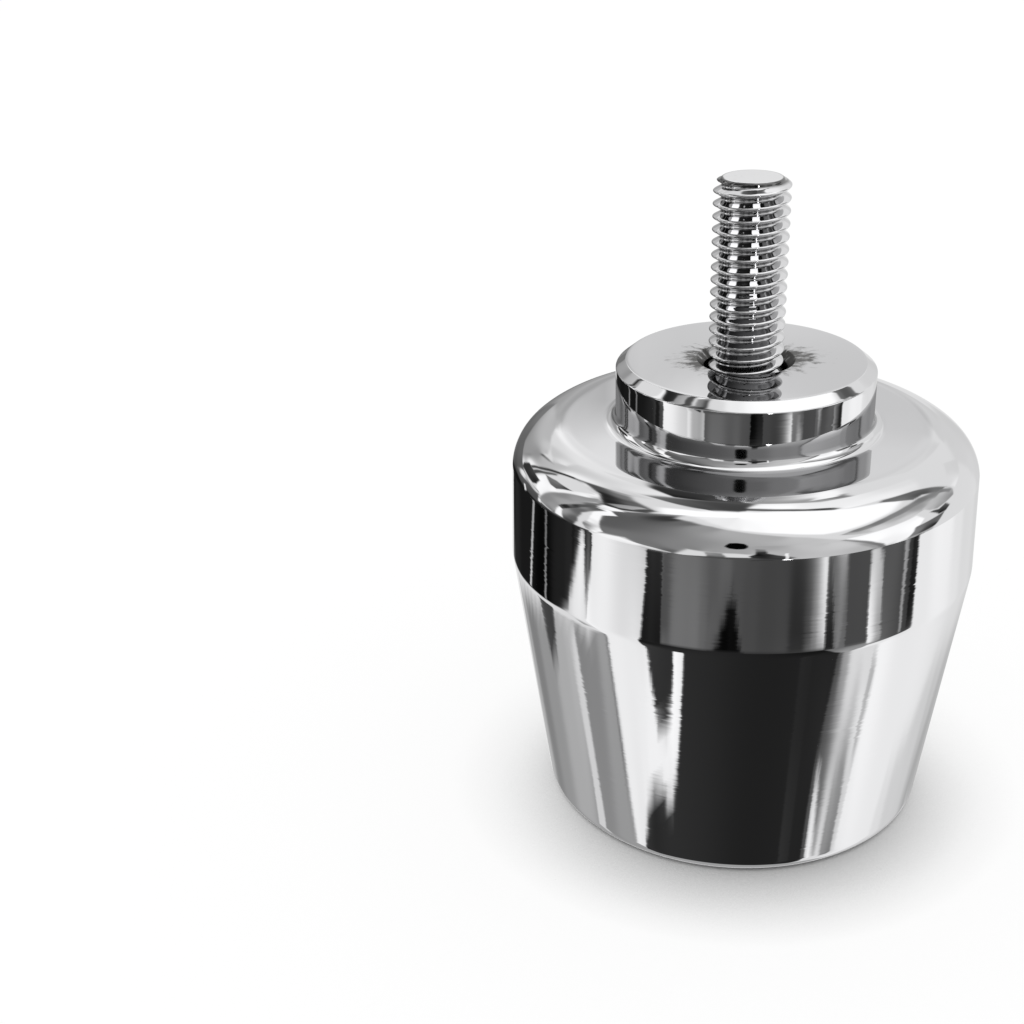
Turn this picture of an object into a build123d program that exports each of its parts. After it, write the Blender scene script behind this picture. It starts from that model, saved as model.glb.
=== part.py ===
from build123d import *
import os

# Bar end weight: a turned and chromed steel body, held on the end of a handlebar by one screw.
# It stands on its outer face. +Z goes up through the boss to the screw's tip, and the origin is the
# middle of the outer face. Millimetres.

# Outside of the body, from the outer face up
foot_diameter = 31.8           # where the taper meets the outer face, before its edge is rounded
foot_edge_radius = 0.9
taper_height = 21.7            # outer face to the crease
crease_diameter = 37.8
band_height = 7.8              # crease to the edge at the top of the band
band_top_diameter = 37.44
knee_height = 2.0              # top of the band to where the shoulder's curve eases
knee_diameter = 35.2
shoulder_height = 3.3          # top of the band to the plateau
plateau_diameter = 28.1        # where the flat plateau runs out into the shoulder's curve
boss_foot_chamfer = 0.6        # cove between the plateau and the boss
boss_diameter = 20.6
boss_height = 5.2              # above the plateau
boss_chamfer_width = 0.8
boss_chamfer_height = 0.65

# Screw
screw_diameter = 6.0           # over the thread
screw_length = 45.0            # under the head
shank_diameter = 5.3           # plain shank, the thread's pitch diameter
tip_chamfer = 0.55
head_diameter = 10.5
head_height = 3.0
head_flat_diameter = 7.6
head_crown_height = 0.6        # sloping crown between the head's flat and its side
drive_across = 6.6             # six-lobe drive, over the lobes
drive_inner = 4.8              # and between its flutes
drive_flute_radius = 1.4
drive_corner_radius = 0.25
drive_lobes = 6
drive_depth = 2.2

# Inside of the body, fitted to the screw
recess_diameter = 21.0         # mouth of the conical recess in the outer face
recess_edge_chamfer = 0.15
recess_depth = 4.3             # depth of the cone
head_clearance = 0.85          # between the head and the counterbore's wall
head_sink = 0.2                # the head's top lies this far inside the counterbore
hole_clearance = 0.3           # between the thread and the hole's wall
hole_chamfer = 0.6             # worn edge of the hole in the boss

# Heights above the outer face
band_top = taper_height + band_height
knee = band_top + knee_height
plateau = band_top + shoulder_height
boss_face = plateau + boss_height
head_top = recess_depth + head_sink
seat = head_top + head_height
tip = seat + screw_length

# Radii
counterbore_radius = head_diameter / 2 + head_clearance
hole_radius = screw_diameter / 2 + hole_clearance
boss_radius = boss_diameter / 2
boss_face_radius = boss_radius - boss_chamfer_width


def corner(sketch, radius, height):
    """The sketch's corner nearest to this point of the turned profile."""
    return sketch.vertices().sort_by_distance((radius, height, 0))[0]


# The body's section, from its axis out, is drawn as the lathe would cut it and turned about Z.
with BuildPart() as weight_body:
    with BuildSketch(Plane.XZ) as section:
        with BuildLine():
            Polyline(
                (plateau_diameter / 2, plateau),
                (boss_radius, plateau),
                (boss_radius, boss_face - boss_chamfer_height),
                (boss_face_radius, boss_face),
                (hole_radius + hole_chamfer, boss_face),
                (hole_radius, boss_face - hole_chamfer),
                (hole_radius, seat),
                (counterbore_radius, seat),
                (counterbore_radius, recess_depth),
                (recess_diameter / 2, 0),
                (foot_diameter / 2, 0),
                (crease_diameter / 2, taper_height),
                (band_top_diameter / 2, band_top),
            )
            ease = TangentArc(
                (plateau_diameter / 2, plateau),
                (knee_diameter / 2, knee),
                tangent=(1, 0),
            )
            TangentArc(
                (knee_diameter / 2, knee),
                (band_top_diameter / 2, band_top),
                tangent=ease % 1,
            )
        make_face()
        fillet(corner(section, foot_diameter / 2, 0), foot_edge_radius)
        chamfer(corner(section, boss_radius, plateau), boss_foot_chamfer)
        chamfer(corner(section, recess_diameter / 2, 0), recess_edge_chamfer)
    revolve(axis=Axis.Z)

# The screw is turned about Z with its head down, then the drive is sunk into the head.
with BuildPart() as fixing_screw:
    with BuildSketch(Plane.XZ) as blank:
        with BuildLine():
            Polyline(
                (0, head_top),
                (0, tip),
                (screw_diameter / 2 - tip_chamfer, tip),
                (screw_diameter / 2, tip - tip_chamfer),
                (screw_diameter / 2, boss_face),
                (shank_diameter / 2, boss_face - (screw_diameter - shank_diameter) / 2),
                (shank_diameter / 2, seat),
                (head_diameter / 2, seat),
                (head_diameter / 2, head_top + head_crown_height),
                (head_flat_diameter / 2, head_top),
                close=True,
            )
        make_face()
    revolve(axis=Axis.Z)
    with BuildSketch(Plane.XY.offset(head_top)) as drive:
        Circle(drive_across / 2)
        with PolarLocations(drive_inner / 2 + drive_flute_radius, drive_lobes):
            Circle(drive_flute_radius, mode=Mode.SUBTRACT)
        fillet(drive.vertices(), drive_corner_radius)
    extrude(amount=drive_depth, mode=Mode.SUBTRACT)

weight_body.part.label = "weight_body"
fixing_screw.part.label = "fixing_screw"

os.makedirs("parts", exist_ok=True)
export_step(weight_body.part, "parts/weight_body.step")
export_step(fixing_screw.part, "parts/fixing_screw.step")
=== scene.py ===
import math

import bpy
import numpy as np
from mathutils import Matrix, Vector


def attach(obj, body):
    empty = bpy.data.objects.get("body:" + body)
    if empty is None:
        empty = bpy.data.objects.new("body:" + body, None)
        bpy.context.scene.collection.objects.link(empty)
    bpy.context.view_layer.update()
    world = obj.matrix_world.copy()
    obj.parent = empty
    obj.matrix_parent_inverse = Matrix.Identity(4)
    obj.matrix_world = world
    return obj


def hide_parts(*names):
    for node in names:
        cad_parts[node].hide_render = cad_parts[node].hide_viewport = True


# Bar end weight. Metres, +Z out of the boss, the part stands on its outer face at the origin.
# Values of shapes, panels, cards and the camera are in millimetres and degrees, and those of materials
# and the floor in metres.
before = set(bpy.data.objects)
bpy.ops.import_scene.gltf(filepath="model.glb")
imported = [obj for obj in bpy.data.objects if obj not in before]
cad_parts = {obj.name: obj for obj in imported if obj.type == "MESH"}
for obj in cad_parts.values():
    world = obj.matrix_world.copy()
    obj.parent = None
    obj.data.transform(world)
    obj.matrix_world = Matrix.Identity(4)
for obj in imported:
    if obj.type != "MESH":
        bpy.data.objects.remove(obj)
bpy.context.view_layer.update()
mm = 0.001


def newObject(name, data):
    made = bpy.data.objects.new(name, data)
    bpy.context.scene.collection.objects.link(made)
    return made


# A surface from a grid of points (rows x columns x 3, in mm). Columns close round the axis. Rows close
# on themselves, or each end row closes on a point of its own. Faces are turned to look outwards,
# which is where the volume under them, a sixth of the sum of a . (b x c), comes out above zero.
def surfacePiece(name, points, poles=None):
    rows, columns = points.shape[:2]
    index = np.arange(rows * columns).reshape(rows, columns)
    upper = np.roll(index, -1, axis=0) if poles is None else index[1:]
    lower = index if poles is None else index[:-1]
    besideLower, besideUpper = np.roll(lower, -1, axis=1), np.roll(upper, -1, axis=1)
    quads = np.stack([lower, besideLower, besideUpper, upper], axis=-1).reshape(-1, 4)
    vertices = points.reshape(-1, 3)
    fans = np.zeros((0, 3), int)
    if poles is not None:
        first, last = len(vertices), len(vertices) + 1
        vertices = np.vstack([vertices, poles])
        fans = np.vstack([
            np.stack([np.roll(index[0], -1), index[0], np.full(columns, first)], axis=-1),
            np.stack([index[-1], np.roll(index[-1], -1), np.full(columns, last)], axis=-1)])
    triangles = np.vstack([quads[:, [0, 1, 2]], quads[:, [0, 2, 3]], fans])
    a, b, c = (vertices[triangles[:, k]] for k in range(3))
    if np.einsum("ij,ij->", a, np.cross(b, c)) < 0:
        quads, fans = quads[:, ::-1], fans[:, ::-1]
    mesh = bpy.data.meshes.new(name)
    mesh.from_pydata((vertices * mm).tolist(), [], quads.tolist() + fans.tolist())
    mesh.polygons.foreach_set("use_smooth", np.ones(len(mesh.polygons), bool))
    mesh.update()
    return newObject(name, mesh)


# A turned outline from corners (radius, height, rounding). A rounding R swaps the corner for the arc
# that touches both its lines: it starts R / tan(half the angle between them) before the corner and
# its middle is R / sin(half the angle) away. Lines longer than the shortest one that is divided get
# a short step beside each arc, which keeps their shading flat, and steps up to the longest between.
def turnedOutline(corners, closed, arcSteps=7, support=0.25, shortest=0.6, longest=2.5):
    corners = np.array(corners, float)
    points = corners[:, :2]
    before, after = np.roll(points, 1, axis=0), np.roll(points, -1, axis=0)
    arcs = []
    for i, (corner, previous, following, rounding) in enumerate(zip(points, before, after, corners[:, 2])):
        if rounding == 0 or (not closed and i in (0, len(points) - 1)):
            arcs.append(corner[None, :])
            continue
        back = (previous - corner) / np.linalg.norm(previous - corner)
        forth = (following - corner) / np.linalg.norm(following - corner)
        half = math.acos(np.clip(back @ forth, -1, 1)) / 2
        middle = corner + (back + forth) / np.linalg.norm(back + forth) * rounding / math.sin(half)
        start, end = corner + back * rounding / math.tan(half), corner + forth * rounding / math.tan(half)
        turn = np.linspace(0, 1, arcSteps)[:, None]
        sweep = math.pi - 2 * half
        along = np.sin((1 - turn) * sweep) * (start - middle) + np.sin(turn * sweep) * (end - middle)
        arcs.append(middle + along / math.sin(sweep))
    outline = []
    for i, arc in enumerate(arcs):
        outline.append(arc)
        if not closed and i == len(arcs) - 1:
            break
        start, end = arc[-1], arcs[(i + 1) % len(arcs)][0]
        length = np.linalg.norm(end - start)
        near = min(support, length / 5)
        inner = np.linspace(near, length - near, max(2, math.ceil((length - 2 * near) / longest) + 1))
        if length > shortest:
            outline.append(start + (end - start) * inner[:, None] / length)
    return np.vstack(outline)


# Carries an outline round the Z axis: x = r cos t, y = r sin t, z stays.
def turned(outline, columns):
    angle = np.linspace(0, 2 * math.pi, columns, endpoint=False)
    radius, height = outline[:, :1], outline[:, 1:2]
    return np.stack([radius * np.cos(angle), radius * np.sin(angle), height + 0 * angle], axis=-1)


bodyShape = {
    "columns": 384,
    "footRadius": 15.9, "footEdge": 0.9,            # outer face and its rounded rim
    "creaseRadius": 18.9, "creaseHeight": 21.7, "creaseEdge": 3.0,
    "bandTopRadius": 18.72, "bandTopHeight": 29.5, "bandTopEdge": 0.15,
    "kneeRadius": 17.6, "kneeHeight": 31.5,
    "plateauRadius": 14.05, "plateauHeight": 32.8,
    "coveEdge": 0.8,
    "bossRadius": 10.3, "bossHeight": 38.0, "chamferWidth": 0.8, "chamferHeight": 0.65,
    "holeRadius": 3.3, "holeChamfer": 0.6, "seatHeight": 7.5,
    "counterboreRadius": 6.1, "recessRadius": 10.5, "recessDepth": 4.3, "recessEdge": 0.16,
    "fineEdge": 0.12,                                # polished edges are never quite sharp
}


# Arc from start to end that leaves start at this slope below level: the chord's slope lies midway
# between the slopes at its two ends, and the bend is chord / (2 sin(half the change of slope)).
def tangentArc(start, end, slope, steps):
    run, drop = end[0] - start[0], start[1] - end[1]
    last = 2 * math.atan2(drop, run) - slope
    bend = math.hypot(run, drop) / (2 * math.sin((last - slope) / 2))
    turn = np.linspace(slope, last, steps)
    arc = np.stack([start[0] + bend * (np.sin(turn) - math.sin(slope)),
                    start[1] + bend * (np.cos(turn) - math.cos(slope)), 0 * turn], axis=-1)
    return arc, last


# The body is turned from one closed outline, from the hole out over the boss, down the outside and in
# over the recess. The shoulder leaves the plateau level, and a tighter arc takes it down to the band.
def makeBody(s):
    plateauEnd, knee = (s["plateauRadius"], s["plateauHeight"]), (s["kneeRadius"], s["kneeHeight"])
    easyArc, slope = tangentArc(plateauEnd, knee, 0, 20)
    tightArc, slope = tangentArc(knee, (s["bandTopRadius"], s["bandTopHeight"]), slope, 20)
    shoulder = np.vstack([easyArc, tightArc[1:-1]])
    corners = [
        (s["holeRadius"], s["bossHeight"] - s["holeChamfer"], s["fineEdge"]),
        (s["holeRadius"] + s["holeChamfer"], s["bossHeight"], s["fineEdge"]),
        (s["bossRadius"] - s["chamferWidth"], s["bossHeight"], s["fineEdge"]),
        (s["bossRadius"], s["bossHeight"] - s["chamferHeight"], s["fineEdge"]),
        (s["bossRadius"], s["plateauHeight"], s["coveEdge"]),
        *shoulder.tolist(),
        (s["bandTopRadius"], s["bandTopHeight"], s["bandTopEdge"]),
        (s["creaseRadius"], s["creaseHeight"], s["creaseEdge"]),
        (s["footRadius"], 0, s["footEdge"]),
        (s["recessRadius"], 0, s["recessEdge"]),
        (s["counterboreRadius"], s["recessDepth"], s["fineEdge"]),
        (s["counterboreRadius"], s["seatHeight"], s["fineEdge"]),
        (s["holeRadius"], s["seatHeight"], s["fineEdge"]),
    ]
    return surfacePiece("weightBody", turned(turnedOutline(corners, closed=True), s["columns"]))


screwShape = {
    "columns": 144, "rowsPerPitch": 24,
    "pitch": 1.0, "crestRadius": 2.97, "threadDepth": 0.613, "crestPhase": 0.949,   # crest height at +X
    "flankAngle": 60, "threadSoft": 0.035,           # between the flanks, and rounding of crest and root
    "threadStart": 34.5, "tipHeight": 52.5, "tipRadius": 2.45, "tipEdge": 0.25,
    "shankRadius": 2.65, "seatHeight": 7.5,
    "headRadius": 5.25, "headTop": 4.5, "headFlat": 3.5, "headEdge": 0.3, "seatEdge": 0.08, "neckEdge": 0.1,
    "crownFrom": 3.65, "crownEdge": 0.6, "crownDrop": 0.75,
    "driveOuter": 3.3, "driveInner": 2.4, "driveFlute": 1.4, "driveLobes": 6,
    "driveDepth": 2.2, "driveCone": 0.35, "driveSoft": 0.12,
}


# Outline of the six-lobe drive by direction: the distance to the outer circle, or to the nearer side
# of the flute that points there, whichever is less, blended over a short length.
def driveOutline(angle, s):
    part = 2 * math.pi / s["driveLobes"]
    off = (angle + part / 2) % part - part / 2
    centre, flute = s["driveInner"] + s["driveFlute"], s["driveFlute"]
    inside = np.maximum(flute ** 2 - (centre * np.sin(off)) ** 2, 0)
    side = np.where(inside > 0, centre * np.cos(off) - np.sqrt(inside), 9)
    soft = s["driveSoft"]
    return -soft * np.log(np.exp(-side / soft) + np.exp(-s["driveOuter"] / soft))


# Radius of the thread at a height and direction. Along the axis it falls from a flat crest of an
# eighth of the pitch, by the tangent of 60 degrees for each step away, to a rounded root. Both bends
# are soft * log(1 + exp(fall / soft)). The crest climbs by one pitch a turn, right-handed.
def threadRadius(height, angle, s):
    away = ((height - s["crestPhase"]) / s["pitch"] - angle / (2 * math.pi) + 0.5) % 1 - 0.5
    fall = (np.abs(away) * s["pitch"] - s["pitch"] / 16) * math.tan(math.radians(s["flankAngle"]))
    soft = s["threadSoft"]
    fall = soft * np.log1p(np.exp(fall / soft))
    fall = s["threadDepth"] - soft * np.log1p(np.exp((s["threadDepth"] - fall) / soft))
    return s["crestRadius"] - np.maximum(fall, 0)


# The screw is rows of points x = r(t) cos t, y = r(t) sin t, from the bottom of the drive out over the
# head, along the shank and thread, and in over the tip.
def makeScrew(s):
    angle = np.linspace(0, 2 * math.pi, s["columns"], endpoint=False)
    floor, top = s["headTop"] + s["driveDepth"], s["headTop"]
    drive = driveOutline(angle, s)
    rows = []                                        # each row is (radius by direction, height)
    for share in (0.15, 0.4, 0.7, 0.9, 0.97):        # cone at the bottom of the drive
        rows.append((drive * share, floor + s["driveCone"] * (1 - share)))
    for share in (0.0, 0.04, 0.3, 0.6, 0.9, 0.97):   # its walls, up to the head's flat
        rows.append((drive, floor - share * s["driveDepth"]))
    for out, sink in ((0.0, 0.03), (0.02, 0.01), (0.05, 0.0), (0.12, 0.0)):
        rows.append((drive + out, top + sink))
    outline = turnedOutline([
        (s["headFlat"], top, 0),
        (s["crownFrom"], top, s["crownEdge"]),
        (s["headRadius"], top + s["crownDrop"], s["headEdge"]),
        (s["headRadius"], s["seatHeight"], s["seatEdge"]),
        (s["shankRadius"], s["seatHeight"], s["neckEdge"]),
        (s["shankRadius"], s["threadStart"] - s["pitch"], 0)], closed=False, longest=4.0)
    rows += [(np.maximum(radius, drive + 0.14), height) for radius, height in outline]
    # Threaded length: the shank swells into the thread over a turn, and the tip's cone cuts it off.
    chamferTop = s["tipHeight"] - s["tipEdge"]
    heights = np.arange(s["threadStart"], chamferTop, s["pitch"] / s["rowsPerPitch"])
    grow = np.clip((heights - s["threadStart"]) / s["pitch"], 0, 1)[:, None]
    thread = threadRadius(heights[:, None], angle[None, :], s)
    thread = np.minimum(thread, s["tipRadius"] + (s["tipHeight"] - heights)[:, None])
    thread = s["shankRadius"] * (1 - grow) + thread * grow
    rows += list(zip(thread, heights))
    last = thread[-1]
    for turn in np.linspace(0, math.pi / 2, 5):      # rounded edge of the tip's flat
        edge = s["tipRadius"] + s["tipEdge"] * (math.cos(turn) - 1)
        rows.append((np.minimum(last, edge), chamferTop + s["tipEdge"] * math.sin(turn)))
    for flat in (s["tipRadius"] - s["tipEdge"] - 0.1, 1.2, 0.4):
        rows.append((flat, s["tipHeight"]))
    radius = np.array([np.broadcast_to(r, angle.shape) for r, h in rows])
    height = np.array([h for r, h in rows])[:, None]
    points = np.stack([radius * np.cos(angle), radius * np.sin(angle), height + 0 * angle], axis=-1)
    poles = [[0, 0, floor + s["driveCone"]], [0, 0, s["tipHeight"]]]
    return surfacePiece("fixingScrew", points, poles)


weightBody = makeBody(bodyShape)
fixingScrew = makeScrew(screwShape)
for piece, node, slotName in (
        (weightBody, "weight_body", "body_chrome"),
        (fixingScrew, "fixing_screw", "screw_plating")):
    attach(piece, "root")
    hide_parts(node)
    print("made", piece.name, len(piece.data.vertices), "vertices")


def addNode(tree, kind, inputs=None, **settings):
    node = tree.nodes.new("ShaderNode" + kind)
    for name, value in settings.items():
        setattr(node, name, value)
    for socket, value in (inputs or {}).items():
        if isinstance(value, bpy.types.NodeSocket):
            tree.links.new(value, node.inputs[socket])
        else:
            node.inputs[socket].default_value = value
    return node


def calc(tree, operation, *values):
    inputs = {i: value for i, value in enumerate(values)}
    return addNode(tree, "Math", inputs, operation=operation).outputs[0]


def vectorCalc(tree, operation, *values):
    inputs = {i: value for i, value in enumerate(values)}
    node = addNode(tree, "VectorMath", inputs, operation=operation)
    return node.outputs["Value" if operation == "LENGTH" else "Vector"]


def scaled(tree, vector, factor):
    return addNode(tree, "VectorMath", {0: vector, "Scale": factor}, operation="SCALE").outputs[0]


# Runs from 0 to 1 as the value goes from low to high, with soft ends.
def fade(tree, value, low, high):
    inputs = {"Value": value, "From Min": low, "From Max": high}
    return addNode(tree, "MapRange", inputs, interpolation_type="SMOOTHSTEP").outputs["Result"]


def newGroup(name, inputs, outputs):
    group = bpy.data.node_groups.new(name, "ShaderNodeTree")
    for way, sockets in (("INPUT", inputs), ("OUTPUT", outputs)):
        for socketName, value in sockets:
            kind = "NodeSocketVector" if isinstance(value, tuple) else "NodeSocketFloat"
            group.interface.new_socket(socketName, in_out=way, socket_type=kind).default_value = value
    return group, group.nodes.new("NodeGroupInput").outputs, group.nodes.new("NodeGroupOutput").inputs


# Fine lines that a polishing wheel leaves round the axis. They tilt the normal by noise that is long
# round the axis and short across it: the noise is read at (x, y) / r * reach and (z + r / 2) * fineness.
# Its first two channels v lean the normal sideways, along the lines, and across them, both by
# (v - 0.5) |v - 0.5| * 8, so that most lines lean little and a few stand out as hairs.
def makePolishLines():
    group, given, result = newGroup(
        "polishLines",
        [("Place", (0, 0, 0)), ("Normal", (0, 0, 1)), ("Reach", 6.0), ("Fineness", 4500.0),
         ("Sideways", 0.02), ("Across", 0.02), ("Patches", 0.5)],
        [("Normal", (0, 0, 0))])
    flat = vectorCalc(group, "MULTIPLY", given["Place"], (1, 1, 0))
    radius = vectorCalc(group, "LENGTH", flat)
    unit = vectorCalc(group, "NORMALIZE", flat)
    height = addNode(group, "SeparateXYZ", {0: given["Place"]}).outputs["Z"]
    level = calc(group, "MULTIPLY", calc(group, "MULTIPLY_ADD", radius, 0.5, height), given["Fineness"])
    rise = addNode(group, "CombineXYZ", {"Z": level}).outputs[0]
    place = vectorCalc(group, "ADD", scaled(group, unit, given["Reach"]), rise)
    lines = addNode(group, "TexNoise", {"Vector": place, "Scale": 1, "Detail": 1, "Roughness": 0.5})
    # The lines are fainter in patches some 4 mm across.
    blotch = addNode(group, "TexNoise", {"Vector": given["Place"], "Scale": 260, "Detail": 1})
    patch = fade(group, blotch.outputs["Fac"], 0.35, 0.65)
    amount = calc(group, "MULTIPLY_ADD", calc(group, "SUBTRACT", patch, 1.0), given["Patches"], 1.0)
    off = vectorCalc(group, "SUBTRACT", lines.outputs["Color"], (0.5, 0.5, 0.5))
    off = vectorCalc(group, "MULTIPLY", off, vectorCalc(group, "ABSOLUTE", off))
    lean = scaled(group, off, calc(group, "MULTIPLY", amount, 8.0))
    lean = addNode(group, "SeparateXYZ", {0: lean})
    along = vectorCalc(group, "CROSS_PRODUCT", (0, 0, 1), unit)
    across = vectorCalc(group, "CROSS_PRODUCT", given["Normal"], along)
    side = scaled(group, along, calc(group, "MULTIPLY", lean.outputs["X"], given["Sideways"]))
    over = scaled(group, across, calc(group, "MULTIPLY", lean.outputs["Y"], given["Across"]))
    leaned = vectorCalc(group, "ADD", vectorCalc(group, "ADD", given["Normal"], side), over)
    group.links.new(vectorCalc(group, "NORMALIZE", leaned), result["Normal"])
    return group


# Small pits and specks, strewn thinly: a few cells of a Voronoi pattern hold one near their middle.
def makeSpecks():
    group, given, result = newGroup(
        "specks", [("Place", (0, 0, 0)), ("Spacing", 0.002), ("Size", 0.04), ("Share", 0.2)], [("Mask", 0.0)])
    scale = calc(group, "DIVIDE", 1.0, given["Spacing"])
    pattern = {"Vector": given["Place"], "Scale": scale, "Randomness": 1}
    cells = addNode(group, "TexVoronoi", pattern)
    chance = addNode(group, "SeparateXYZ", {0: cells.outputs["Color"]})
    size = calc(group, "MULTIPLY", given["Size"], chance.outputs["Y"])
    near = calc(group, "LESS_THAN", cells.outputs["Distance"], size)
    chosen = calc(group, "LESS_THAN", chance.outputs["X"], given["Share"])
    group.links.new(calc(group, "MULTIPLY", near, chosen), result["Mask"])
    return group


polishLines = makePolishLines()
specks = makeSpecks()


# Turns nodes on for a material or world, and starts it with none.
def emptyTree(owner):
    owner.use_nodes = True
    owner.node_tree.nodes.clear()
    return owner.node_tree


def newMetal(name, colour, roughness):
    material = bpy.data.materials.new(name)
    tree = emptyTree(material)
    finish = {"Base Color": colour, "Metallic": 1.0, "Roughness": roughness}
    shader = addNode(tree, "BsdfPrincipled", finish)
    addNode(tree, "OutputMaterial", {"Surface": shader.outputs[0]})
    return material, tree, shader


# Object coordinates, the radius from the axis, and the coordinates taken apart.
def whereOn(tree):
    place = addNode(tree, "TexCoord").outputs["Object"]
    flat = vectorCalc(tree, "MULTIPLY", place, (1, 1, 0))
    parts = addNode(tree, "SeparateXYZ", {0: place}).outputs
    return place, vectorCalc(tree, "LENGTH", flat), parts


def mixColour(tree, factor, first, second):
    inputs = {0: factor, 6: first, 7: second}
    return addNode(tree, "Mix", inputs, data_type="RGBA", clamp_factor=True).outputs[2]


def mixVector(tree, factor, first, second):
    inputs = {0: factor, 4: first, 5: second}
    return addNode(tree, "Mix", inputs, data_type="VECTOR", clamp_factor=True).outputs[1]


def linedNormal(tree, place, normal, s):
    inputs = {"Place": place, "Normal": normal, "Reach": s["reach"], "Fineness": s["fineness"],
              "Sideways": s["sideways"], "Across": s["across"], "Patches": s["patches"]}
    return addNode(tree, "Group", inputs, node_tree=polishLines).outputs["Normal"]


# Painted shade: a colour that is darker for reflections of the surface in another one, so that a
# second reflection is dimmer than the first.
def shadedInReflection(tree, colour, share):
    seen = addNode(tree, "LightPath").outputs["Is Glossy Ray"]
    factor = calc(tree, "MULTIPLY_ADD", seen, share - 1.0, 1.0)
    return scaled(tree, colour, factor)


chrome = {
    "colour": (0.87, 0.87, 0.88, 1),
    # Painted shade: faces that look straight up get this darker colour.
    "flat": (0.67, 0.67, 0.68, 1),                   # faces that look straight up are less bright
    "dull": (0.60, 0.60, 0.61, 1), "scuff": (0.10, 0.098, 0.095, 1), "spot": (0.35, 0.35, 0.35, 1),
    "smooth": 0.008, "smeared": 0.02, "satin": 0.30, "scuffed": 0.34,
    "sideways": 0.02, "across": 0.004, "reach": 5.0, "fineness": 5600.0, "patches": 0.8,
    # Painted shade on the next line: a face seen in another face's reflection is darker by the first value,
    # and duller by the second.
    "reflectionShade": 0.42, "echoRough": 0.09,                 # how bright and how dull another face shows it
    "satinTop": 0.00004,                             # the outer face's flat ends here
    "flatFrom": 0.985, "flatFull": 0.9995,           # the normal's upward part on a flat
    "scuffLow": 0.0371, "scuffEdge": 0.0003,         # the boss's face is above this height
    "scuffFrom": 0.0041, "scuffReach": 0.0067, "scuffRagged": 0.008,   # radii, and how far they wander
    "streakRound": 4.0, "streakAlong": 900.0,        # fineness of the streaks round the hole and along
    "smearScale": 120, "smearFrom": 0.4, "smearFull": 0.75,
    "spotSpacing": 0.0024, "spotSize": 0.025, "spotShare": 0.25, "spotRough": 0.3,
}


def makeChrome(s):
    material, tree, shader = newMetal("bodyChrome", s["colour"], s["smooth"])
    place, radius, parts = whereOn(tree)
    normal = addNode(tree, "NewGeometry").outputs["Normal"]
    lined = linedNormal(tree, place, normal, s)
    spots = addNode(tree, "Group", {
        "Place": place, "Spacing": s["spotSpacing"], "Size": s["spotSize"], "Share": s["spotShare"]},
        node_tree=specks).outputs["Mask"]
    # Satin outer face.
    satin = calc(tree, "SUBTRACT", 1.0, fade(tree, parts["Z"], s["satinTop"] * 0.5, s["satinTop"]))
    # The plateau and the boss's face, by how far their normal points up. They have no polish lines, and get a
    # painted shade.
    up = addNode(tree, "SeparateXYZ", {0: normal}).outputs["Z"]
    flat = fade(tree, up, s["flatFrom"], s["flatFull"])
    tree.links.new(mixVector(tree, flat, lined, normal), shader.inputs["Normal"])
    # The boss's face is scuffed round the hole, most to its left and right, in streaks away from it.
    onFace = fade(tree, parts["Z"], s["scuffLow"] - s["scuffEdge"], s["scuffLow"])
    spread = calc(tree, "MULTIPLY_ADD", calc(tree, "ABSOLUTE", parts["Y"]), 0.5, radius)
    unit = vectorCalc(tree, "NORMALIZE", vectorCalc(tree, "MULTIPLY", place, (1, 1, 0)))
    streaks = scaled(tree, unit, s["streakRound"])
    streaks = vectorCalc(tree, "ADD", streaks, scaled(tree, place, s["streakAlong"]))
    rub = addNode(tree, "TexNoise", {"Vector": streaks, "Scale": 1, "Detail": 4, "Roughness": 0.65})
    rub = calc(tree, "SUBTRACT", rub.outputs["Fac"], 0.5)
    ragged = calc(tree, "MULTIPLY_ADD", rub, s["scuffRagged"], spread)
    worn = calc(tree, "SUBTRACT", 1.0, fade(tree, ragged, s["scuffFrom"], s["scuffReach"]))
    worn = calc(tree, "MULTIPLY", worn, onFace)
    smear = addNode(tree, "TexNoise", {"Vector": place, "Scale": s["smearScale"], "Detail": 3})
    smear = fade(tree, smear.outputs["Fac"], s["smearFrom"], s["smearFull"])
    smear = calc(tree, "MULTIPLY_ADD", smear, s["smeared"] - s["smooth"], s["smooth"])
    rough = calc(tree, "MULTIPLY_ADD", satin, s["satin"], smear)
    rough = calc(tree, "MULTIPLY_ADD", worn, s["scuffed"], rough)
    rough = calc(tree, "MULTIPLY_ADD", spots, s["spotRough"], rough)
    second = addNode(tree, "LightPath").outputs["Is Glossy Ray"]
    tree.links.new(calc(tree, "MULTIPLY_ADD", second, s["echoRough"], rough), shader.inputs["Roughness"])
    # Painted shade: faces that look straight up take the darker flat colour.
    tint = mixColour(tree, flat, s["colour"], s["flat"])
    tint = mixColour(tree, spots, tint, s["spot"])
    tint = mixColour(tree, satin, tint, s["dull"])
    tint = mixColour(tree, worn, tint, s["scuff"])
    tree.links.new(shadedInReflection(tree, tint, s["reflectionShade"]), shader.inputs["Base Color"])
    return material


plating = {
    # Painted shade: root is the colour of the thread's root, and rim is a painted dark reflection on the edge
    # round the tip's flat.
    "colour": (0.86, 0.86, 0.87, 1), "root": (0.78, 0.78, 0.79, 1), "rim": (0.20, 0.20, 0.20, 1),
    # Painted shade on the next line, in its last value: the screw seen in another face's reflection is
    # darker.
    "smooth": 0.012, "rootRough": 0.02, "mottled": 0.02, "mottleScale": 700, "reflectionShade": 0.55,
    "rootRadius": 0.00242, "crestRadius": 0.0027,
    "threadFrom": 0.0345, "threadFull": 0.0355, "threadTop": 0.0522,   # heights
    # Painted dark reflection on the tip's edge, between the next two heights.
    "rimLow": 0.05205, "rimHigh": 0.05225,           # the tip's edge darkens between these heights
    "flatFrom": 0.9, "flatFull": 0.99,               # the normal's upward part on the tip's flat
    "sideways": 0.03, "across": 0.02, "reach": 5.0, "fineness": 5000.0, "patches": 0.5,
}


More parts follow.
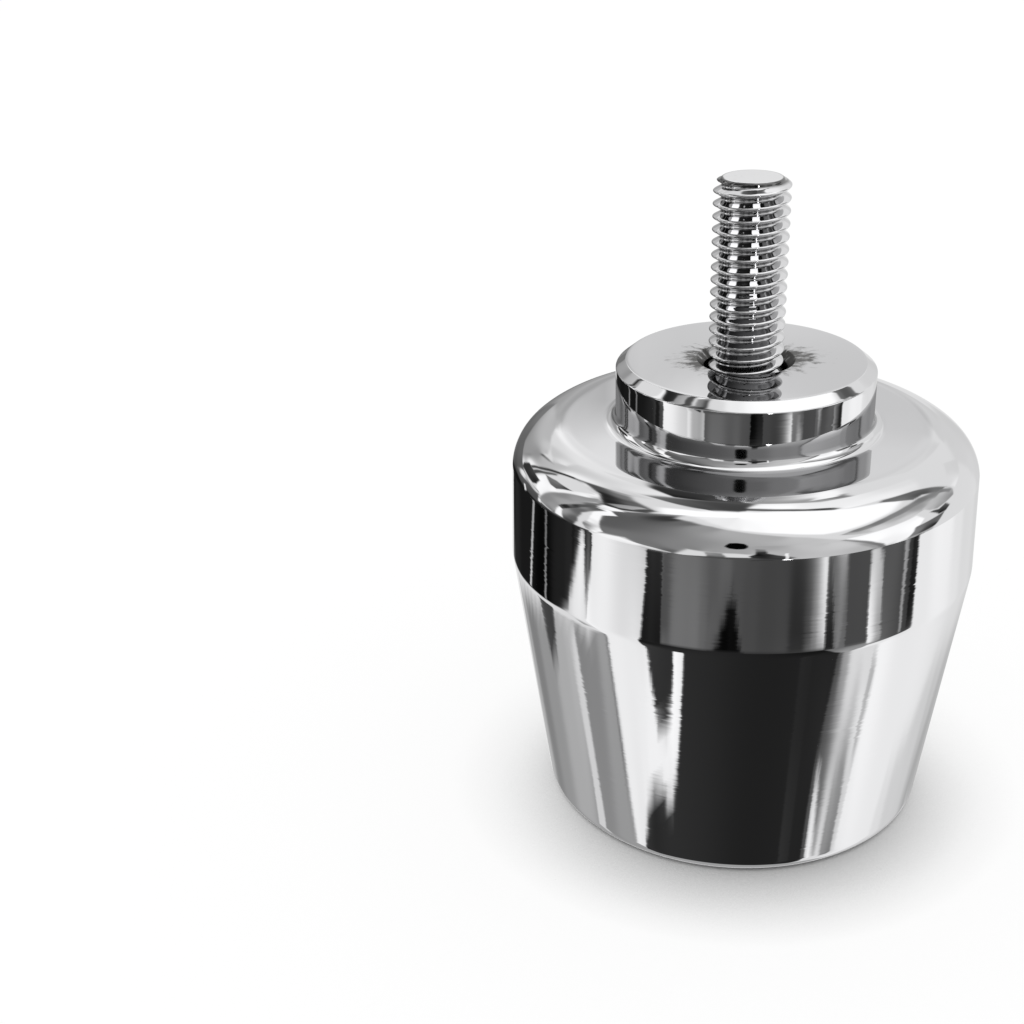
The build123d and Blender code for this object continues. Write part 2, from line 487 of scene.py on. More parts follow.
def makePlating(s):
    material, tree, shader = newMetal("screwPlating", s["colour"], s["smooth"])
    place, radius, parts = whereOn(tree)
    normal = addNode(tree, "NewGeometry").outputs["Normal"]
    tree.links.new(linedNormal(tree, place, normal, s), shader.inputs["Normal"])
    # Painted shade: the thread's root is greyer than its crest, and it is also duller.
    shadedRoot = calc(tree, "SUBTRACT", 1.0, fade(tree, radius, s["rootRadius"], s["crestRadius"]))
    thread = fade(tree, parts["Z"], s["threadFrom"], s["threadFull"])
    below = calc(tree, "LESS_THAN", parts["Z"], s["threadTop"])
    shadedRoot = calc(tree, "MULTIPLY", calc(tree, "MULTIPLY", shadedRoot, thread), below)
    tint = mixColour(tree, shadedRoot, s["colour"], s["root"])
    # Painted dark reflection: the edge round the tip's flat is given a darker colour.
    up = addNode(tree, "SeparateXYZ", {0: normal}).outputs["Z"]
    rim = fade(tree, parts["Z"], s["rimLow"], s["rimHigh"])
    rim = calc(tree, "SUBTRACT", rim, fade(tree, up, s["flatFrom"], s["flatFull"]))
    tint = mixColour(tree, calc(tree, "MAXIMUM", rim, 0.0), tint, s["rim"])
    tree.links.new(shadedInReflection(tree, tint, s["reflectionShade"]), shader.inputs["Base Color"])
    mottle = addNode(tree, "TexNoise", {"Vector": place, "Scale": s["mottleScale"], "Detail": 3})
    rough = calc(tree, "MULTIPLY_ADD", mottle.outputs["Fac"], s["mottled"], s["smooth"])
    tree.links.new(calc(tree, "MULTIPLY_ADD", shadedRoot, s["rootRough"], rough), shader.inputs["Roughness"])
    return material


weightBody.data.materials.append(makeChrome(chrome))
fixingScrew.data.materials.append(makePlating(plating))
print("materials done")


# Everything that a polished part shows is its surroundings, so the part stands in a tent of light.
# Only reflections see the tent. A panel is (blur, corners), and a corner is (round, up, shade): the
# direction in degrees, round from +X and up from level, and how bright it looks, in percent.
# Each panel lies over the ones above it in the list.
lightTent = {
    "radius": 1200, "columns": 464, "rows": 208, "lowest": -70, "highest": 89.6,
    "base": 84, "gain": 1.16, "curve": 2.2,          # shade under all panels, and shade to brightness
    "panels": [
        # overhead box of light
        (2.1, [(-182, 92, 100), (182, 92, 100), (182, 69, 100), (150, 70, 100), (130, 78, 100),
            (90, 79, 100), (60, 78, 100), (30, 70, 100), (20, 62, 100), (22, 46, 100), (-10, 46, 100),
            (-42, 43, 100), (-52, 44, 100), (-70, 56, 100), (-90, 64, 98), (-105, 68, 94), (-120, 74, 92),
            (-150, 78, 92), (-182, 78, 92)]),
        # bright cloth on the right, above the front corner
        (1.4, [(22, 62, 96), (30, 70, 92), (60, 71, 100), (92, 70, 100), (90, 62, 88), (55, 60, 92),
            (50, 40, 86), (30, 40, 88), (29, 52, 94)]),
        (0.7, [(97, 68, 92), (100, 36, 88), (114, 32, 80), (122.5, 32, 72), (121.5, 28, 70), (119.6, 22, 56),
            (118, 14, 47), (117.4, 8, 50), (118.6, 2, 54), (123, -1, 62), (126.5, 1, 92), (131, 14, 94),
            (131, 44, 94), (138, 50, 75), (128, 62, 80), (112, 68, 92)]),
        (0.8, [(112.4, 3, 40), (115, 12, 34), (117.2, 19, 28), (119.3, 24.6, 28), (121.2, 29, 46),
            (124, 33, 66), (124.6, 32.4, 66), (122.6, 28, 46), (120.6, 23.6, 28), (118.6, 18, 28),
            (116.5, 11, 34), (114, 3, 40)]),
        (0.8, [(60, 36, 82), (60, 24, 80), (75, 23.6, 90), (83, 22.4, 97), (88, 24, 96), (96, 24, 94),
            (104, 25.5, 84), (114, 29, 76), (122, 33, 80), (119, 38, 88), (100, 40, 88)]),
        (0.8, [(58, 21.5, 79), (68, 21, 78), (76, 20.5, 86), (80, 20.5, 88), (84, 20.3, 85), (85.5, 22, 90),
            (87, 22.4, 78), (96, 23, 68), (104, 24.5, 70), (112, 28, 76), (118, 28, 72), (122, 21, 56),
            (122, 12, 57), (121, 4, 56), (114, -4, 42), (106, -8, 44), (98, -16, 46), (88, -16, 46),
            (84, 0, 62), (78, 8, 74), (62, 8, 77)]),
        (1, [(86.6, 22.8, 71), (89, 21.5, 67), (97, 21, 64), (99, 8, 60), (97, -2, 54), (91, -2, 60),
            (88, 10, 66)]),
        (2, [(44, 20, 80), (62, 20, 79), (67, -2, 77), (60, -20, 78), (48, -18, 80), (40, 0, 81)]),
        # back wall, and its darker top corner
        (1.8, [(-182, 76, 55), (-166, 70, 22), (-150, 72, 40), (-125, 70, 56), (-100, 63, 66), (-80, 54, 66),
            (-62, 42, 74), (-48, 24, 76), (-34, -4, 58), (-30, -20, 50), (-90, -20, 55), (-90, 10, 66),
            (-110, 6, 60), (-122, 8, 50), (-128, -8, 36), (-140, -8, 46), (-152, 4, 44), (-168, -4, 42),
            (-170, 24, 35), (-176, 40, 34), (-182, 50, 38)]),
        (1.4, [(-114, 10, 58), (-90, 28, 62), (-60, 26, 74), (-50, 20, 78), (-36, -8, 70), (-60, -16, 74),
            (-88, 4, 70), (-100, 8, 62)]),
        (0.7, [(-114, 6, 56), (-106, 6, 50), (-104, -8, 38), (-112, -10, 34)]),
        (0.6, [(-103.5, -4, 25), (-97, -4, 25), (-97, -13, 25), (-103.5, -13, 25)]),
        (0.5, [(-99.7, 34, 5), (-96.2, 32.6, 5), (-94.8, 29, 5), (-94.4, 26, 5), (-94.8, 22.5, 5),
            (-96.4, 19.4, 5), (-99.7, 18.2, 5), (-103, 19.4, 5), (-104.6, 22.5, 5), (-105, 26, 5),
            (-104.6, 29, 5), (-103.2, 32.6, 5)]),
        (0.5, [(-103.2, -10, 18), (-99.4, -10, 18), (-99.4, -21.7, 20), (-103.2, -21.7, 20)]),
        (0.7, [(-91, 20, 45), (-86.5, 19, 50), (-86, 9, 20), (-78, 1, 25), (-73, -3, 45), (-79, -9, 15),
            (-92, -10, 8), (-94, 2, 20), (-91, 6, 10)]),
        # slanted dark edge between the wall and the window on its right
        (0.8, [(-50, 24, 62), (-47.5, 24, 55), (-38, 9, 48), (-31, -4, 45), (-26, -18, 42), (-29.5, -18, 42),
            (-35, -4, 45), (-41.5, 9, 50)]),
        (0.8, [(-47, 25, 98), (-6, 23, 96), (-5, 12, 100), (-10, 5, 100), (-14, -7, 98), (-20, -9, 95),
            (-28, -14, 70), (-31, -4, 95), (-39, 12, 100)]),
        # rounded grey box overhead on the right, with a darker top
        (1, [(-46, 36, 60), (-36, 40, 48), (-20, 42.5, 46), (-5, 43.5, 50), (8, 42.5, 50), (18, 39, 45),
            (23, 33, 50), (27, 25.5, 62), (10, 25, 68), (-15, 25.5, 72), (-35, 27, 74), (-42, 31, 72)]),
        (1, [(-36, 34, 72), (-10, 37, 66), (6, 36, 58), (16, 32, 58), (14, 26, 74), (-10, 25, 80),
            (-30, 26, 82)]),
        (0.8, [(19, 48, 45), (23, 53, 40), (27, 52, 42), (30, 42, 38), (28, 30, 42), (27, 25, 40),
            (23, 30, 45), (22, 38, 32), (17, 41, 40)]),
        (0.7, [(28, 26.5, 84), (47, 27, 81), (45.5, 18, 80), (26, 16, 90)]),
        (0.7, [(1.5, 26.5, 76), (5, 27.4, 72), (24, 27.4, 72), (27.5, 26, 78), (24, 17, 62), (20, 12, 55),
            (6, 14, 60), (2, 19, 70)]),
        (0.5, [(21, 28.5, 48), (25.4, 29, 48), (24.6, 23, 51), (24, 18.6, 52), (21.2, 18.6, 52),
            (21.4, 23, 51)]),
        (0.8, [(1, 16, 35), (3, 15, 20), (6, 11.5, 25), (12, 12, 35), (13, 6, 30), (9, 3, 20), (4, 5, 10),
            (3, 9, 25)]),
        (0.8, [(-12, 5, 45), (0, 4, 38), (8, 3, 35), (4, -3, 40), (1, -8, 15), (-4, -10, 25), (-17, -9, 48),
            (-14, -2, 48)]),
        (1, [(-17, -9, 58), (0, -9, 62), (-1, -13, 66), (-17, -13, 66)]),
        # dark arc across the overhead light on the right, and its rounded end
        (0.9, [(22, 66, 60), (30, 69.5, 30), (40, 72.5, 32), (60, 75.5, 34), (90, 77, 32), (112, 76, 45),
            (124, 74, 80), (124, 70, 85), (112, 72, 55), (90, 72.5, 34), (60, 72, 34), (42, 69.5, 34),
            (32, 65, 25), (26, 64, 35)]),
        (2, [(76, 60, 30), (76, 71, 26), (74, 77, 26), (82, 79, 26), (112, 78, 28), (118, 70, 34),
            (116, 60, 40)]),
        # hatch of struts at the far right
        (0.7, [(53, 53, 55), (57, 59, 62), (62, 60, 60), (78, 62, 58), (80, 48, 60), (76, 30, 55),
            (72, 34, 55), (73, 39, 90), (66, 46, 96), (59, 51, 45)]),
        (0.7, [(60, 52, 98), (63, 57, 94), (69, 48, 98), (76, 36, 96), (73, 37, 96), (66, 46, 96)]),
        (0.8, [(80, 62, 30), (100, 59, 15), (96, 48, 20), (88, 36, 30), (80, 36, 35)]),
        # dark arch high at the back right
        (1.4, [(128, 60, 62), (140, 62, 45), (156, 66, 38), (170, 68, 30), (178, 64, 30), (174, 54, 22),
            (166, 49, 20), (158, 50, 15), (146, 50.5, 15), (136, 48, 30), (131, 43, 35)]),
        (1, [(160, 64, 55), (165, 66, 70), (172, 60, 65), (170, 55, 60), (163, 52, 55)]),
        (0.8, [(167, 48, 98), (172, 53, 98), (180, 54, 98), (180, 47, 98), (174, 43, 90)]),
        (0.6, [(178, 45, 100), (181, 46, 100), (190, 42, 98), (187, 32, 98), (190, 24, 98), (196, 0, 96),
            (192, -7, 98), (186, -6, 60), (184, 2, 50), (185.2, 8, 70), (186.4, 11, 96), (184, 24, 98),
            (180, 34, 98)]),
        # columns at the back right
        (1, [(131, 43, 30), (135, 46, 92), (150, 49.5, 96), (151, 40, 94), (140, 32, 92), (138, 26, 96),
            (140, 16, 98), (144, 14, 98), (147, 5, 98), (153, 2, 96), (156, 25, 98), (156, 44, 96),
            (161, 50, 60), (166, 46, 56), (168, 30, 60), (168, 5, 58), (162, -10, 45), (178, -10, 25),
            (181, 0, 35), (180, 20, 38), (181, 42, 36), (174, 40, 36), (170, 46, 40), (166, 50, 35),
            (158, 51, 80), (145, 52, 80), (132, 47, 60)]),
        (0.6, [(137, 27, 42), (141, 33, 45), (151, 39.5, 25), (152.5, 27, 35), (148, 25, 40)]),
        (0.6, [(152, 48, 90), (155, 45, 96), (156, 25, 96), (153, 25, 92), (151.5, 40, 92)]),
        (0.7, [(130, 43, 20), (132.5, 43, 18), (133, 15, 25), (131, 14, 25)]),
        (0.7, [(133.5, 35, 40), (135.5, 34, 30), (138, 15, 28), (134.5, 15, 30)]),
        (0.7, [(129, 13, 20), (134, 15, 25), (144, 16, 22), (145.5, 9, 15), (143, 4.5, 20), (133, 3, 20),
            (128, 1, 22), (127, 5, 20)]),
        (1, [(157, 50, 55), (164, 49, 58), (168, 36, 60), (169, 20, 62), (166, 0, 58), (163, -9, 50),
            (152, -6, 55), (154, 5, 52), (157, 25, 52)]),
        (0.6, [(166.5, 8, 30), (168, 15, 16), (169.8, 21, 38), (170.6, 25, 22), (171.2, 34, 34),
            (170.6, 41, 36), (174.6, 43, 36), (175, 30, 34), (174.4, 22, 26), (172, 13, 16),
            (169.6, 6.5, 30)]),
        (0.7, [(167.5, 7, 98), (170, 6, 98), (171, -8, 98), (165, -8, 95)]),
        # floor-level clutter, far side
        (0.8, [(98, 8, 45), (116, 5, 38), (130, 1, 34), (150, 3, 36), (152, -8, 30), (163, -10, 20),
            (182, -9, 15), (188, -8, 18), (187, -24.5, 12), (174, -25, 14), (160, -27, 10), (140, -28, 10),
            (120, -28, 14), (104, -26, 30), (98, -15, 40)]),
        (0.6, [(104, -18, 12), (122, -13, 10), (136, -12, 12), (152, -12, 14), (163, -13, 10),
            (180, -12, 12), (181, -20, 12), (177, -22.6, 18), (176.4, -24.4, 15), (172, -25.2, 16),
            (166, -26, 14), (150, -27.5, 6), (132, -27.5, 12), (112, -26, 16), (104, -23.8, 12)]),
        (0.6, [(120, -10.5, 40), (140, -2, 55), (152, -1, 40), (150, 2, 88), (140, 2.5, 92), (131, 0, 90)]),
        (0.6, [(134.5, -9, 95), (136.5, -8, 95), (137, -13, 90), (134, -15, 80)]),
        (0.6, [(151, -5, 95), (153, -5, 95), (153, -9.5, 95), (150.5, -9.5, 95)]),
        (0.4, [(138.6, -17, 45), (140.4, -17, 40), (141, -22, 60), (139.4, -24, 62), (137, -26.5, 84),
            (135, -26.5, 84), (137, -24, 75), (138.8, -22, 65)]),
        (0.4, [(150.6, -16, 50), (152.4, -14, 60), (153.4, -22, 40), (153.4, -27, 55), (151.6, -27, 50),
            (151.4, -22, 45)]),
        # white cloth behind the tail of the above, low
        (0.6, [(172, -25, 85), (176, -23.8, 90), (180, -22, 95), (181.5, -22, 90), (183, -25.3, 88),
            (196, -25.5, 97), (190, -33, 80), (176, -36, 60), (170, -27, 80)]),
        # front: grey curtain down to just below level with the part, black under it
        (0.6, [(-144.5, -12, 72), (-143, -12, 62), (-137.5, -13, 42), (-136, -10, 30), (-112, -4, 30),
            (-95, -2, 30), (-84, -4, 25), (-60, -10, 50), (-50, -12, 50), (-46, -14, 30), (-36, -12, 40),
            (-27, -12, 24), (-17, -13, 38), (-9, -10, 40), (-8, -24, 20), (-6, -26, 40), (-8, -30, 30),
            (-33, -38, 55), (-38, -43, 60), (-44, -48, 30), (-40, -60, 25), (-40, -92, 12), (-160, -92, 12),
            (-158, -49.5, 12), (-150, -48.4, 12), (-152, -46, 12), (-149, -41, 12), (-146, -25.5, 25),
            (-144, -22, 70)]),
        (0.6, [(-146, -26.5, 12), (-56, -26.8, 11), (-46, -38, 14), (-41.6, -41, 16), (-41.6, -44.4, 16),
            (-46, -46.4, 17), (-46.5, -49, 15), (-42, -60, 11), (-42, -92, 11), (-162, -92, 14),
            (-162, -50, 16), (-155, -49, 20), (-151, -46, 16), (-149.5, -41, 24)]),
        (0.6, [(-134.8, -11, 30), (-134.3, -26, 30), (-126, -26.4, 43), (-118, -26.4, 43), (-114, -26.4, 38),
            (-110, -24.4, 33), (-104, -23.6, 36), (-99, -24.2, 30), (-94, -26.5, 28), (-84, -26.5, 26),
            (-76.5, -26.5, 27), (-71, -26.5, 18), (-67.6, -26.5, 17), (-64.4, -26, 27), (-61.4, -26, 48),
            (-58.6, -26, 74), (-56, -26, 90), (-56.2, -23, 92), (-58, -12, 76), (-62, -11, 40),
            (-67, -11, 20), (-71, -11, 20), (-77, -10, 27), (-93, -8, 28), (-103, -10, 27), (-115, -10, 28),
            (-128, -10, 27)]),
        (0.4, [(-112, -26.8, 12), (-109, -26.2, 10), (-106, -25.3, 6), (-103, -24.4, 5), (-101, -23.9, 10),
            (-99, -24.4, 6), (-97.2, -25.4, 8), (-94.5, -26.8, 12)]),
        (0.5, [(-46.2, -12, 29), (-35.4, -12, 30), (-34.4, -20, 29), (-34, -26.8, 28), (-45.4, -26.8, 28),
            (-46, -20, 28)]),
        (0.5, [(-55.8, -22, 30), (-55, -22, 30), (-52, -25, 14), (-51, -27, 12), (-55.8, -27, 12)]),
        (0.6, [(-55, -20, 45), (-50, -20, 66), (-46.8, -21, 70), (-46.2, -24, 40), (-49.5, -26.8, 48),
            (-52, -24.5, 40), (-54.6, -22, 34)]),
        (0.5, [(-142.5, -11, 55), (-137.5, -11, 14), (-136, -16, 14), (-134.6, -22.5, 18), (-134.3, -25, 14),
            (-134.6, -27, 10), (-146, -27, 12), (-144, -25, 12), (-142.6, -22, 16), (-141.5, -18, 40)]),
        (0.5, [(-135.5, -14, 60), (-133.5, -14, 62), (-133.5, -19.5, 70), (-134.8, -19.5, 60)]),
        (0.5, [(-92.6, -12, 8), (-84, -10, 8), (-83, -15, 12), (-82, -20.8, 14), (-92.8, -21.2, 6)]),
        (0.4, [(-77.8, -14, 98), (-76.6, -14, 98), (-76.6, 8, 98), (-77.8, 8, 98)]),
        (0.4, [(-78.8, -8.5, 300), (-74.5, -8.5, 300), (-74.5, -14.5, 300), (-78.8, -14.5, 300)]),
        # white streak between dark curtains, left of the bright side
        (0.5, [(-34.2, -22, 60), (-32.6, -21.5, 84), (-30, -21.5, 74), (-27, -23, 72), (-26.4, -25.2, 58),
            (-26, -27, 55), (-30, -34, 50), (-33.6, -27, 96), (-34, -24.6, 98)]),
        (0.5, [(-33, -13, 35), (-30.8, -12, 84), (-28.5, -13, 50), (-28.5, -20, 35), (-31.5, -20, 80),
            (-33, -19, 35)]),
        (0.5, [(-16.5, -14, 40), (-13.5, -12, 56), (-9.5, -13, 36), (-10.5, -21, 30), (-13, -24, 60),
            (-14, -26.5, 66), (-15.5, -26.5, 40), (-14.5, -23, 60)]),
        (0.5, [(-8.4, -12, 18), (-5.4, -12, 24), (-5.4, -22.8, 20), (-6.4, -25.3, 10), (-10.4, -25.6, 10),
            (-9.2, -22.8, 14)]),
        # bright side, low
        (0.6, [(-5.6, -11, 80), (-4, -12, 90), (-2, -12, 92), (10, -16, 94), (20, -17, 93), (28, -19, 87),
            (40, -20, 83), (64, -18, 79), (72, -18, 80), (72, -30, 78), (70, -92, 60), (-20, -92, 70),
            (-22, -50, 84), (-19.5, -45, 92), (-16.5, -41, 95), (-21, -38, 90), (-31, -40, 92),
            (-30, -34, 90), (-9, -27.5, 88), (-6, -25.6, 90), (-5, -23, 90)]),
        (1.4, [(12, -41, 85), (24, -38.5, 79), (34, -34, 78), (46, -32, 74), (66, -28, 69), (74, -36, 60),
            (50, -38, 63), (50, -92, 45), (20, -92, 55), (4, -50, 79)]),
        # hairy cloth between black and white, low
        (0.6, [(-44.6, -45.4, 22), (-41, -41, 25), (-38, -41, 62), (-32, -41, 84), (-21, -42, 88),
            (-19, -44, 84), (-22, -48, 80), (-26, -50, 40), (-30, -50, 50), (-34, -49, 84), (-37, -50, 60),
            (-40, -48, 40), (-43, -46, 35)]),
        (0.5, [(-44.5, -47, 50), (-43.5, -46.6, 90), (-40.5, -49, 97), (-37.5, -53, 92), (-39.2, -53, 97),
            (-42, -49.5, 88)]),
        (0.5, [(-20.2, -40.2, 70), (-17.6, -40.4, 66), (-20, -44.5, 72), (-21.8, -44.3, 72)]),
        (0.6, [(-31.5, -45, 70), (-26, -44.6, 56), (-24, -46, 52), (-24, -51, 38), (-30, -52, 45),
            (-31, -48, 56)]),
        (0.8, [(-63, -41, 17), (-57, -41, 16), (-54, -55, 18), (-62, -55, 20)]),
        # white window low on the left, with the black cap over its foot
        (0.5, [(-172.5, -16, 97), (-171, -11, 90), (-164, -4, 96), (-155, 1, 96), (-148, -1, 96),
            (-138, -3, 88), (-129, -6, 80), (-131, -10, 62), (-138, -10, 66), (-143, -14, 66),
            (-143.4, -19.5, 76), (-142.6, -22.3, 74), (-143, -23.6, 78), (-143.8, -24.6, 84),
            (-144.6, -25.6, 86), (-147, -28, 90), (-148.5, -41, 88), (-146.6, -43.6, 94),
            (-143.2, -46.1, 94), (-138, -46.5, 95), (-134.4, -45.9, 98), (-132.4, -44.6, 98),
            (-131.6, -41.8, 98), (-126, -41.8, 90), (-126, -44, 94), (-128.9, -46.6, 94),
            (-131.4, -48.3, 94), (-135.8, -49.6, 90), (-139, -49.4, 92), (-142, -48.7, 94),
            (-148, -48.4, 94), (-153, -48.8, 92), (-157, -49.9, 90), (-160.6, -54, 88), (-163.6, -50, 92),
            (-168.2, -43.4, 92), (-172, -40.5, 92), (-176.5, -26, 96), (-176, -24.6, 96),
            (-173.5, -23.5, 90)]),
        (0.5, [(-150, -12, 92), (-148, -21.2, 88), (-141, -21.4, 66), (-132.5, -21.4, 74),
            (-132.5, -18.8, 70), (-135, -17.4, 60), (-136.5, -18.4, 62), (-142, -16, 66),
            (-141.5, -13, 60)]),
        (0.5, [(-180.5, -11, 25), (-174, -10, 22), (-171.6, -10, 30), (-173.2, -17, 36), (-173.8, -22.5, 20),
            (-175.4, -24.4, 45), (-176.2, -25.4, 70), (-177, -24.2, 40), (-177, -22.6, 14),
            (-178.5, -16, 14), (-186, -24.2, 12), (-190, -10, 12)]),
        # grey cloth low on the left and round behind
        (0.6, [(-172.6, -39, 60), (-170.5, -42.6, 58), (-166.6, -47.2, 58), (-163.2, -50, 58),
            (-161, -55, 60), (-160, -92, 45), (-264, -92, 45), (-262, -36, 66), (-258, -27, 90),
            (-254, -29, 62), (-242, -31, 48), (-226, -33.5, 56), (-210, -35.5, 65), (-199, -37, 68),
            (-192, -38, 50), (-184, -39.5, 51)]),
        (0.5, [(-173.4, -39.5, 52), (-171.8, -39.5, 48), (-169.4, -43.5, 42), (-165.5, -49, 55),
            (-167.4, -49, 58), (-170.6, -43.5, 50)]),
        (0.5, [(-223.5, -32, 30), (-220, -32.5, 25), (-209.5, -34, 20), (-210.5, -35.5, 30),
            (-214, -36.8, 25), (-220, -36.5, 25), (-222.5, -35, 40)]),
        (0.6, [(-201, -37.5, 71), (-195, -38, 81), (-190, -46, 80), (-191, -52, 78), (-196, -52, 72),
            (-196.5, -44, 80)]),
        # dim floor seen in the rounded edge of the foot
        (1.5, [(-185, -64, 60), (185, -64, 60), (185, -92, 60), (-185, -92, 60)]),
    ],
}


# How far each direction lies outside an outline, in degrees, and below zero inside it. The nearest
# point of a side is its share t along it. A line to the right crosses an odd number of sides from inside.
def outlineDistance(around, up, corners):
    inside = np.zeros(around.shape, bool)
    nearest = np.full(around.shape, 360.0)
    for (fromAround, fromUp), (toAround, toUp) in zip(corners, np.roll(corners, -1, axis=0)):
        run, rise = toAround - fromAround, toUp - fromUp
        t = np.clip(((around - fromAround) * run + (up - fromUp) * rise) / (run * run + rise * rise), 0, 1)
        nearest = np.minimum(nearest, np.hypot(around - fromAround - t * run, up - fromUp - t * rise))
        if rise:
            inside ^= ((fromUp > up) != (toUp > up)) & (around < fromAround + (up - fromUp) * run / rise)
    return np.where(inside, -nearest, nearest)


# Lays the panels over the base shade. A panel covers a direction by 1 / (1 + exp(3 distance / blur)),
# and its own shade there is its corners' mean, each weighed by 1 / (distance ^ 2 + 4) ^ 2.
def tentShade(s, around, up):
    shade = np.full((len(up), len(around)), float(s["base"]))
    for blur, corners in s["panels"]:
        corners = np.array(corners, float)
        low, high = corners.min(axis=0) - 3 * blur, corners.max(axis=0) + 3 * blur
        rows = np.nonzero((up > low[1]) & (up < high[1]))[0]
        for turn in (-360, 0, 360):
            columns = np.nonzero((around + turn > low[0]) & (around + turn < high[0]))[0]
            if len(rows) == 0 or len(columns) == 0:
                continue
            a, u = np.meshgrid(around[columns] + turn, up[rows])
            away = np.clip(3 * outlineDistance(a, u, corners[:, :2]) / blur, -30, 30)
            cover = 1 / (1 + np.exp(away))
            pull = 1 / ((a[..., None] - corners[:, 0]) ** 2 + (u[..., None] - corners[:, 1]) ** 2 + 4) ** 2
            own = (pull * corners[:, 2]).sum(axis=-1) / pull.sum(axis=-1)
            part = np.ix_(rows, columns)
            shade[part] = shade[part] * (1 - cover) + own * cover
    return shade


# A glowing piece of the studio that reflections see and nothing else does.
def onlyReflected(piece, material):
    material.cycles.emission_sampling = "NONE"
    piece.data.materials.append(material)
    piece.visible_camera = piece.visible_diffuse = piece.visible_shadow = piece.visible_transmission = False


# A sphere: x = cos up cos round, y = cos up sin round, z = sin up, times the radius. Each of its points
# holds its own brightness, gain * (shade / 100) ^ curve.
def makeTent(s):
    around = np.linspace(-180, 180, s["columns"], endpoint=False)
    up = np.linspace(s["lowest"], s["highest"], s["rows"])
    level = s["gain"] * (tentShade(s, around, up) / 100) ** s["curve"]
    a, e = np.radians(around)[None, :], np.radians(up)[:, None]
    points = np.stack([np.cos(e) * np.cos(a), np.cos(e) * np.sin(a), np.sin(e) + 0 * a], axis=-1)
    tent = surfacePiece("lightTent", points * s["radius"], [[0, 0, -s["radius"]], [0, 0, s["radius"]]])
    value = np.append(level.ravel(), [level[0].mean(), level[-1].mean()]).astype(np.float32)
    tent.data.attributes.new("level", "FLOAT", "POINT").data.foreach_set("value", value)
    material = bpy.data.materials.new("tentCloth")
    tree = emptyTree(material)
    level = addNode(tree, "Attribute", attribute_name="level")
    glow = addNode(tree, "Emission", {"Strength": level.outputs["Fac"]})
    addNode(tree, "OutputMaterial", {"Surface": glow.outputs[0]})
    onlyReflected(tent, material)


makeTent(lightTent)

# White cards lie flat in front of the part. Only a second reflection shows them, which in the screw's
# thread goes from one flank to the next.
cardShape = {
    "inner": 26.0, "outer": 90.0, "height": 0.3, "level": 2.6, "steps": 12,
    "sectors": [(-178, -150), (-93, -65)],
}


# Each card is a sector of a ring: its points are (r cos t, r sin t, height) at the inner and outer r,
# with t in equal steps between two directions.
def makeCards(s):
    material = bpy.data.materials.new("cardPaper")
    tree = emptyTree(material)
    glow = addNode(tree, "Emission", {"Strength": s["level"]})
    clear = addNode(tree, "BsdfTransparent", {"Color": (1, 1, 1, 1)})
    second = calc(tree, "GREATER_THAN", addNode(tree, "LightPath").outputs["Glossy Depth"], 1.5)
    either = addNode(tree, "MixShader", {0: second, 1: clear.outputs[0], 2: glow.outputs[0]})
    addNode(tree, "OutputMaterial", {"Surface": either.outputs[0]})
    steps = s["steps"]
    faces = [(i, i + 1, steps + i + 1, steps + i) for i in range(steps - 1)]
    for i, (start, end) in enumerate(s["sectors"]):
        angle = np.radians(np.linspace(start, end, steps))
        rim = np.stack([np.cos(angle), np.sin(angle), 0 * angle], axis=-1)
        points = np.vstack([rim * s["outer"], rim * s["inner"]]) + (0, 0, s["height"])
        mesh = bpy.data.meshes.new("card" + str(i))
        mesh.from_pydata((points * mm).tolist(), [], faces)
        onlyReflected(newObject("card" + str(i), mesh), material)


makeCards(cardShape)

floorShape = {
    "reach": 2.5, "colour": (0.2, 0.2, 0.2, 1), "ownLight": 0.81,
    "shadeReach": 0.009, "shadeLean": 0.6,           # how far it looks for the part, and leaned by
    "shadeDepth": 1.1, "shadePower": 1.6,
}


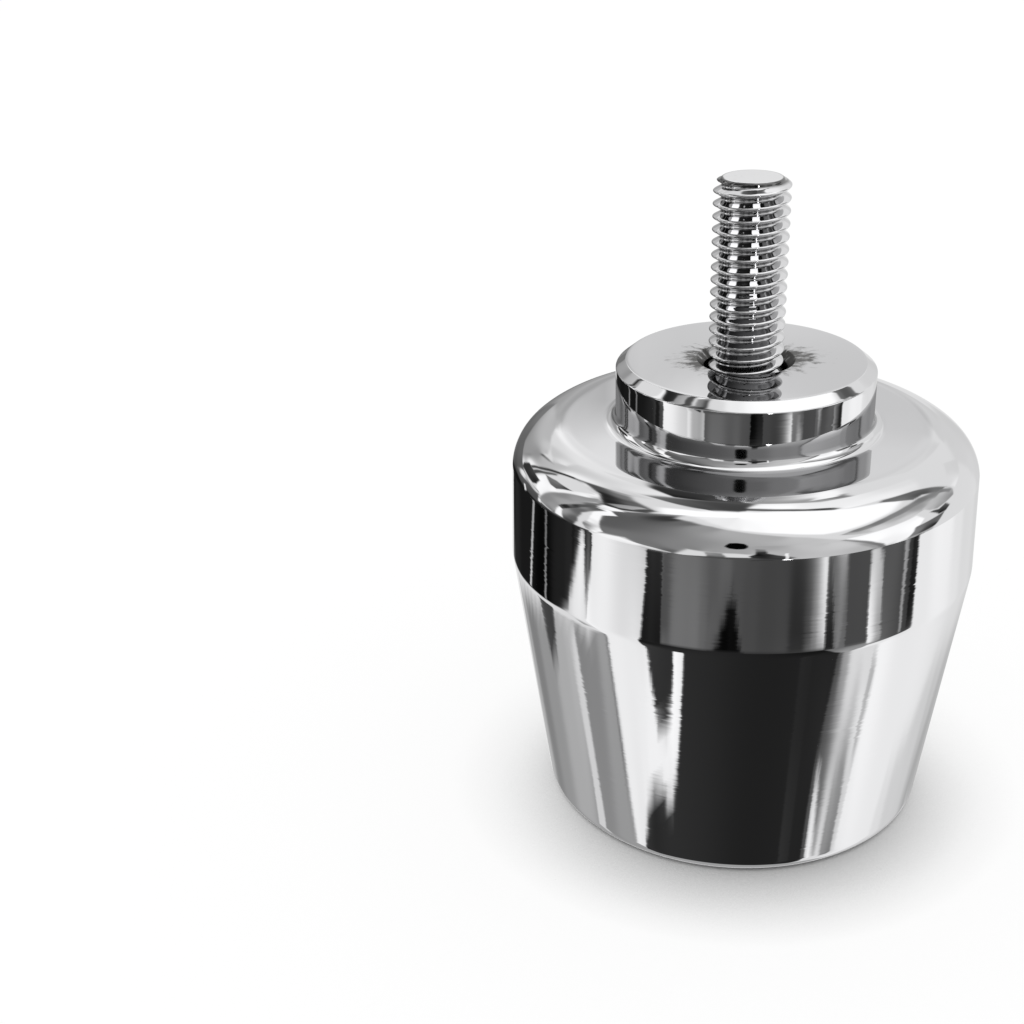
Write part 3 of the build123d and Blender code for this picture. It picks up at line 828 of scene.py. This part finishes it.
# The floor is a pale square, and much of its brightness is its own. Close to the part that light fades
# by 1 - depth * (share of the view that the part hides) ^ power, where the view is upwards and leaned
# backwards, so the shadow is deepest where the two touch.
def makeFloor(s):
    mesh = bpy.data.meshes.new("floor")
    reach = s["reach"]
    corners = [(-reach, -reach, 0), (reach, -reach, 0), (reach, reach, 0), (-reach, reach, 0)]
    mesh.from_pydata(corners, [], [(0, 1, 2, 3)])
    floor = newObject("floor", mesh)
    material = bpy.data.materials.new("paleFloor")
    tree = emptyTree(material)
    paint = addNode(tree, "BsdfDiffuse", {"Color": s["colour"]})
    seen = addNode(tree, "LightPath").outputs["Is Camera Ray"]
    leaned = {"Y": math.sin(s["shadeLean"]), "Z": math.cos(s["shadeLean"])}
    leaned = addNode(tree, "CombineXYZ", leaned).outputs[0]
    view = {"Distance": s["shadeReach"], "Normal": leaned}
    openness = addNode(tree, "AmbientOcclusion", view, samples=4)
    hidden = calc(tree, "POWER", calc(tree, "SUBTRACT", 1.0, openness.outputs["AO"]), s["shadePower"])
    shaded = calc(tree, "MULTIPLY_ADD", hidden, -s["shadeDepth"], 1.0)
    strength = calc(tree, "MULTIPLY", calc(tree, "MULTIPLY", seen, s["ownLight"]), shaded)
    glow = addNode(tree, "Emission", {"Strength": strength})
    both = addNode(tree, "AddShader", {0: paint.outputs[0], 1: glow.outputs[0]})
    addNode(tree, "OutputMaterial", {"Surface": both.outputs[0]})
    mesh.materials.append(material)
    floor.visible_glossy = False


makeFloor(floorShape)

world = bpy.data.worlds.new("studio")
bpy.context.scene.world = world
tree = emptyTree(world)
sky = addNode(tree, "Background", {"Color": (1, 1, 1, 1), "Strength": 1.0})
addNode(tree, "OutputWorld", {"Surface": sky.outputs[0]})
print("studio done")

# The camera looks down at the part. It is given by where the origin falls in a 1024 pixel image,
# the distance to it along the line of sight, and the focal length in pixels.
cameraSet = {
    "pitch": 25.085, "roll": -1.543, "distance": 142.19,
    "focal": 1588.8, "origin": (729.61, 759.91), "image": 1024,
    "sensor": 36, "near": 0.005, "far": 10,          # near and far in metres
}


def makeCamera(s):
    pitch, roll = math.radians(s["pitch"]), math.radians(s["roll"])
    right = Vector((1, 0, 0))
    up = Vector((0, math.sin(pitch), math.cos(pitch)))
    ahead = Vector((0, math.cos(pitch), -math.sin(pitch)))
    u, v = s["origin"][0] - s["image"] / 2, s["origin"][1] - s["image"] / 2
    levelU = u * math.cos(roll) + v * math.sin(roll)
    levelV = -u * math.sin(roll) + v * math.cos(roll)
    scale = s["distance"] / s["focal"]
    place = -(right * levelU * scale - up * levelV * scale + ahead * s["distance"]) * mm
    data = bpy.data.cameras.new("camera")
    data.sensor_width = s["sensor"]
    data.lens = s["focal"] / s["image"] * s["sensor"]
    data.clip_start, data.clip_end = s["near"], s["far"]
    camera = newObject("camera", data)
    turn = Matrix((right, up, -ahead)).transposed() @ Matrix.Rotation(roll, 3, "Z")
    camera.matrix_world = Matrix.Translation(place) @ turn.to_4x4()
    bpy.context.scene.camera = camera


makeCamera(cameraSet)
bpy.context.scene.view_settings.view_transform = "Standard"
